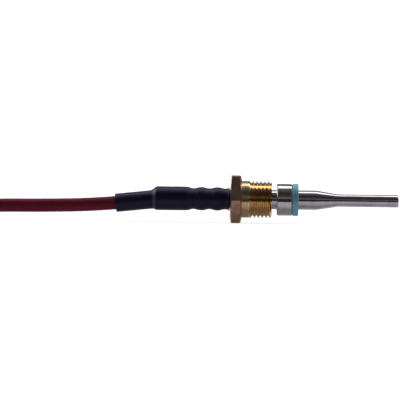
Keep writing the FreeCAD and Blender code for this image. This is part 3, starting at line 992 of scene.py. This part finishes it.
def clamping_screw():
    """The screw in one skin, ring by ring from the rear end of its bore to the front end."""
    segments = 144
    points = []

    def ring(x_at, radius_at):
        for number in range(segments):
            angle = 2 * math.pi * number / segments
            points.append(around(x_at(angle), radius_at(angle), angle))

    def plain(x, radius):
        ring(lambda angle: x, lambda angle: radius)

    def rings_made():
        return len(points) // segments

    def drop(angle):
        """How far the chamfer lies behind the hexagon's face."""
        return max(hex_radius(angle) - HEX_FACE_RADIUS, 0) * HEX_CHAMFER

    hex_front = SCREW_REAR + HEX_THICK
    plain(SCREW_REAR + MOUTH_DEPTH, SCREW_BORE)
    plain(SCREW_REAR, SCREW_MOUTH)
    plain(SCREW_REAR, HEX_FACE_RADIUS - HEX_FACE_EDGE)
    plain(SCREW_REAR + HEX_FACE_EDGE_DEPTH, HEX_FACE_RADIUS)
    hex_start = rings_made()
    ring(lambda angle: SCREW_REAR + drop(angle) + HEX_CHAMFER_EDGE, hex_radius)
    ring(lambda angle: hex_front - drop(angle) - HEX_CHAMFER_EDGE, hex_radius)
    hex_end = rings_made()
    plain(hex_front - HEX_FACE_EDGE_DEPTH, HEX_FACE_RADIUS)
    plain(hex_front, HEX_FACE_RADIUS - HEX_FACE_EDGE)
    plain(hex_front, SHANK_RADIUS + SHANK_FILLET)
    plain(hex_front + SHANK_FILLET / 4, SHANK_RADIUS + SHANK_FILLET / 4)
    plain(hex_front + SHANK_FILLET, SHANK_RADIUS)
    plain(SHANK_FRONT, SHANK_RADIUS)
    foot = THREAD_CREST_HALF + THREAD_FLANK
    crest = THREAD_CREST_HALF
    rising = (-0.5, -foot - THREAD_EDGE, -foot, -foot / 2, -crest - THREAD_EDGE, -crest)
    shares = rising + tuple(-share for share in reversed(rising[1:]))
    first = math.floor((SHANK_FRONT - THREAD_PHASE) / THREAD_PITCH) - 1
    last = math.ceil((SCREW_FRONT - THREAD_PHASE) / THREAD_PITCH) + 1
    thread_start = rings_made()
    for turn in range(first, last):
        for share in shares:
            def along(angle, start=THREAD_PHASE + (turn + share) * THREAD_PITCH):
                x = start + THREAD_PITCH * angle / (2 * math.pi)
                return min(max(x, SHANK_FRONT), SCREW_FRONT)
            ring(along, lambda angle, along=along: thread_radius(along(angle), angle))
    thread_end = rings_made()
    plain(SCREW_FRONT, SCREW_MOUTH)
    plain(SCREW_FRONT - MOUTH_DEPTH, SCREW_BORE)
    faces = ring_faces(rings_made(), segments, closed=True)
    # A ring of the thread is one turn of a helix: it ends where the same ring of the next turn begins
    last_step = segments - 1
    for number in range(thread_start, thread_end - 1):
        low = number * segments
        next_turn = min(number + len(shares), thread_end - 1) * segments
        after = min(number + 1 + len(shares), thread_end - 1) * segments
        faces[low + last_step] = (low + last_step, low + segments + last_step, after, next_turn)
    # Of the three brasses the thread's carries painted light
    brasses = [BRASS, HEX_BRASS, THREAD_BRASS_PAINTED_LIGHT]
    chosen = [0] * len(faces)
    for brass, start, end in [(1, hex_start, hex_end), (2, thread_start, thread_end)]:
        for number in range(start * segments, end * segments):
            chosen[number] = brass
    points, faces, chosen = welded(points, faces, chosen)
    item = mesh_object(
        "screw_turned", points, faces, "screw", brasses, sharp=24, face_materials=chosen,
    )
    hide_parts("clamping_screw")
    return item


def gasket():
    """The gasket, pressed: its edges are round and its rim isn't quite even."""
    segments = 120
    quarter = [math.radians(90 * number / GASKET_CORNER_STEPS) for number in range(GASKET_CORNER_STEPS + 1)]
    profile = [(GASKET_REAR, GASKET_BORE), (GASKET_REAR, GASKET_RADIUS - 2 * GASKET_RECESS)]
    for turn in quarter:
        x = GASKET_REAR + GASKET_RECESS * (1 - math.cos(turn))
        profile.append((x, GASKET_RADIUS - GASKET_RECESS * (1 - math.sin(turn))))
    for turn in reversed(quarter):
        x = -GASKET_ROUNDING * (1 - math.cos(turn))
        profile.append((x, GASKET_RADIUS - GASKET_ROUNDING * (1 - math.sin(turn))))
    profile.append((0, GASKET_BORE))
    points = []
    for x, radius in profile:
        for number in range(segments):
            angle = 2 * math.pi * number / segments
            spot = Vector(around(x, radius, angle)) * GASKET_UNEVEN_SCALE
            uneven = -GASKET_UNEVEN * abs(noise_at(spot)) if radius > GASKET_BORE else 0
            points.append(around(x, radius + uneven, angle))
    faces = ring_faces(len(profile), segments, closed=True)
    item = mesh_object("gasket_pressed", points, faces, "probe", [GASKET], sharp=50)
    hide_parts("sealing_gasket")
    return item


# Studio

def studio_floor():
    """A sheet, white for the camera; in reflections painted shade in front and a painted glow behind."""
    data = bpy.data.meshes.new("floor")
    corners = [(x * FLOOR_SIZE, y * FLOOR_SIZE, FLOOR_Z) for x, y in [(-1, -1), (1, -1), (1, 1), (-1, 1)]]
    data.from_pydata(corners, [], [(0, 1, 2, 3)])
    material, shader = new_material("floor_paper")
    nodes = material.node_tree.nodes
    nodes.remove(shader)
    place = nodes.new("ShaderNodeTexCoord")
    parts = nodes.new("ShaderNodeSeparateXYZ")
    edge = nodes.new("ShaderNodeMapRange")
    edge.interpolation_type = "SMOOTHSTEP"
    edge.inputs["From Min"].default_value = FLOOR_EDGE_Y - FLOOR_EDGE_SOFT
    edge.inputs["From Max"].default_value = FLOOR_EDGE_Y + FLOOR_EDGE_SOFT
    link(material, place.outputs["Object"], parts.inputs[0])
    link(material, parts.outputs["Y"], edge.inputs["Value"])
    # In reflections the paper in front of the part is a painted shade
    tones = nodes.new("ShaderNodeMix")
    tones.data_type = "RGBA"
    tones.inputs["A"].default_value = (*FLOOR_FRONT_PAINTED_SHADE, 1)
    tones.inputs["B"].default_value = (*FLOOR_BACK, 1)
    paper = nodes.new("ShaderNodeBsdfDiffuse")
    link(material, edge.outputs["Result"], tones.inputs["Factor"])
    link(material, tones.outputs["Result"], paper.inputs["Color"])
    # A painted glow in the paper behind the part lifts the shade under it
    brightness = nodes.new("ShaderNodeMath")
    brightness.operation = "MULTIPLY"
    brightness.inputs[1].default_value = FLOOR_BACK_PAINTED_GLOW
    painted_glow = nodes.new("ShaderNodeEmission")
    painted_glow.inputs["Color"].default_value = (*FLOOR_GLOW_TINT, 1)
    underlit = nodes.new("ShaderNodeAddShader")
    link(material, edge.outputs["Result"], brightness.inputs[0])
    link(material, brightness.outputs[0], painted_glow.inputs["Strength"])
    link(material, paper.outputs[0], underlit.inputs[0])
    link(material, painted_glow.outputs[0], underlit.inputs[1])
    glow = nodes.new("ShaderNodeEmission")
    glow.inputs["Strength"].default_value = FLOOR_SEEN_GLOW
    shaded = nodes.new("ShaderNodeBsdfDiffuse")
    shaded.inputs["Color"].default_value = (*FLOOR_SEEN, 1)
    bright = nodes.new("ShaderNodeAddShader")
    link(material, glow.outputs[0], bright.inputs[0])
    link(material, shaded.outputs[0], bright.inputs[1])
    seen = nodes.new("ShaderNodeLightPath")
    choice = nodes.new("ShaderNodeMixShader")
    link(material, seen.outputs["Is Camera Ray"], choice.inputs[0])
    link(material, underlit.outputs[0], choice.inputs[1])
    link(material, bright.outputs[0], choice.inputs[2])
    link(material, choice.outputs[0], nodes["Material Output"].inputs["Surface"])
    data.materials.append(material)
    floor = bpy.data.objects.new("floor", data)
    scene.collection.objects.link(floor)


def studio_light():
    """A softbox above and a little behind, bright sides and a dark front, by direction only."""
    world = bpy.data.worlds.new("studio")
    scene.world = world
    world.use_nodes = True
    tree = world.node_tree
    tree.nodes.clear()
    add = tree.nodes.new
    join = tree.links.new
    place = add("ShaderNodeTexCoord")
    parts = add("ShaderNodeSeparateXYZ")
    join(place.outputs["Generated"], parts.inputs[0])

    def calculation(operation, first, second=None):
        """A value calculated from one or two others. The second may be a plain number."""
        node = add("ShaderNodeMath")
        node.operation = operation
        join(first, node.inputs[0])
        if isinstance(second, (int, float)):
            node.inputs[1].default_value = second
        elif second is not None:
            join(second, node.inputs[1])
        return node.outputs[0]

    def gate(start, end):
        """From 0 to 1 between two heights."""
        level = add("ShaderNodeMapRange")
        level.interpolation_type = "SMOOTHSTEP"
        level.inputs["From Min"].default_value = start
        level.inputs["From Max"].default_value = end
        join(parts.outputs["Z"], level.inputs["Value"])
        return level.outputs["Result"]

    def colours_over(angle, stops):
        """Colours at the stops of an angle from 0 to half a turn."""
        span = add("ShaderNodeMapRange")
        span.inputs["From Min"].default_value = 0
        span.inputs["From Max"].default_value = math.pi
        colours = add("ShaderNodeValToRGB")
        fill_ramp(colours, [(degrees / 180, colour) for degrees, colour in stops])
        join(angle, span.inputs["Value"])
        join(span.outputs["Result"], colours.inputs["Fac"])
        return colours.outputs["Color"]

    def with_panel(light, stops, side, height):
        """The light with a panel added at a side, by the angle from straight behind and a height."""
        turn = calculation("ARCTAN2", side, parts.outputs["Y"])
        total = add("ShaderNodeMix")
        total.data_type = "RGBA"
        total.blend_type = "ADD"
        join(height, total.inputs["Factor"])
        join(light, total.inputs["A"])
        join(colours_over(turn, stops), total.inputs["B"])
        return total.outputs["Result"]

    forward = calculation("MULTIPLY", parts.outputs["Y"], -1)
    cable_side = calculation("MULTIPLY", parts.outputs["X"], -1)
    both_sides = calculation("ABSOLUTE", parts.outputs["X"])
    between = calculation("MULTIPLY", gate(*HIGH_PANELS_FOOT), gate(*HIGH_PANELS_TOP))
    light = colours_over(calculation("ARCTAN2", parts.outputs["Z"], forward), LIGHT_BANDS)
    light = with_panel(light, LOW_PANEL, cable_side, gate(*LOW_PANEL_TOP))
    light = with_panel(light, HIGH_PANELS, both_sides, between)
    lit = add("ShaderNodeBackground")
    lit.inputs["Strength"].default_value = LIGHT_STRENGTH
    white = add("ShaderNodeBackground")
    white.inputs["Color"].default_value = (1, 1, 1, 1)
    white.inputs["Strength"].default_value = SEEN_STRENGTH
    seen = add("ShaderNodeLightPath")
    choice = add("ShaderNodeMixShader")
    out = add("ShaderNodeOutputWorld")
    join(light, lit.inputs["Color"])
    join(seen.outputs["Is Camera Ray"], choice.inputs[0])
    join(lit.outputs[0], choice.inputs[1])
    join(white.outputs[0], choice.inputs[2])
    join(choice.outputs[0], out.inputs["Surface"])


# Materials of the solids that show themselves. Those of the second table come as a pair, a and b.
NODE_FINISH = {
    "sheath_tube": STEEL,
    "collar": TURNED_STEEL,
    "sensor_chip": CHIP,
    "lead_bead": BEAD,
    "chip_sleeve": POLYIMIDE,
    "thermal_paste": PASTE,
    "inner_core_a": WHITE_CORE,
    "inner_core_b": RED_CORE,
}
PAIR_FINISH = {
    "chip_lead": LEAD,
    "lead_splice": TINNED,
    "splice_cover": CLEAR_TUBE,
    "inner_strands": TINNED,
    "end_strands": TINNED,
}


def finish_nodes():
    """The solids that stay as they are get their materials."""
    finishes = dict(NODE_FINISH)
    for name, material in PAIR_FINISH.items():
        finishes[name + "_a"] = material
        finishes[name + "_b"] = material
    for name, material in finishes.items():
        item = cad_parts[name]
        if not item.material_slots:
            item.data.materials.append(None)
        for place in item.material_slots:
            place.material = material


scene.view_settings.view_transform = "Standard"
camera()
cord = cable()
studio_floor()
studio_light()
finish_nodes()
clamping_screw()
shrink_sleeve()
gasket()

# Each stripped core: its letter, side, places across at both ends, and its finish
CORES = [
    ("a", 1, -1.5, -1.5, WHITE_CORE, "white_core"),
    ("b", -1, -2.7, -4.8, RED_CORE, "red_core"),
]
on_cable = []
for letter, side, start_y, end_y, material, slot in CORES:
    on_cable += [strap(side, letter), strap_head(side, letter)]
    on_cable.append(end_core(letter, start_y, end_y, material))
    core_way = (CORE_END_X - CORE_START_X, end_y - start_y, 0)
    on_cable += ferrule(letter, end_y, core_way)
    on_cable.append(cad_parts["end_strands_" + letter])
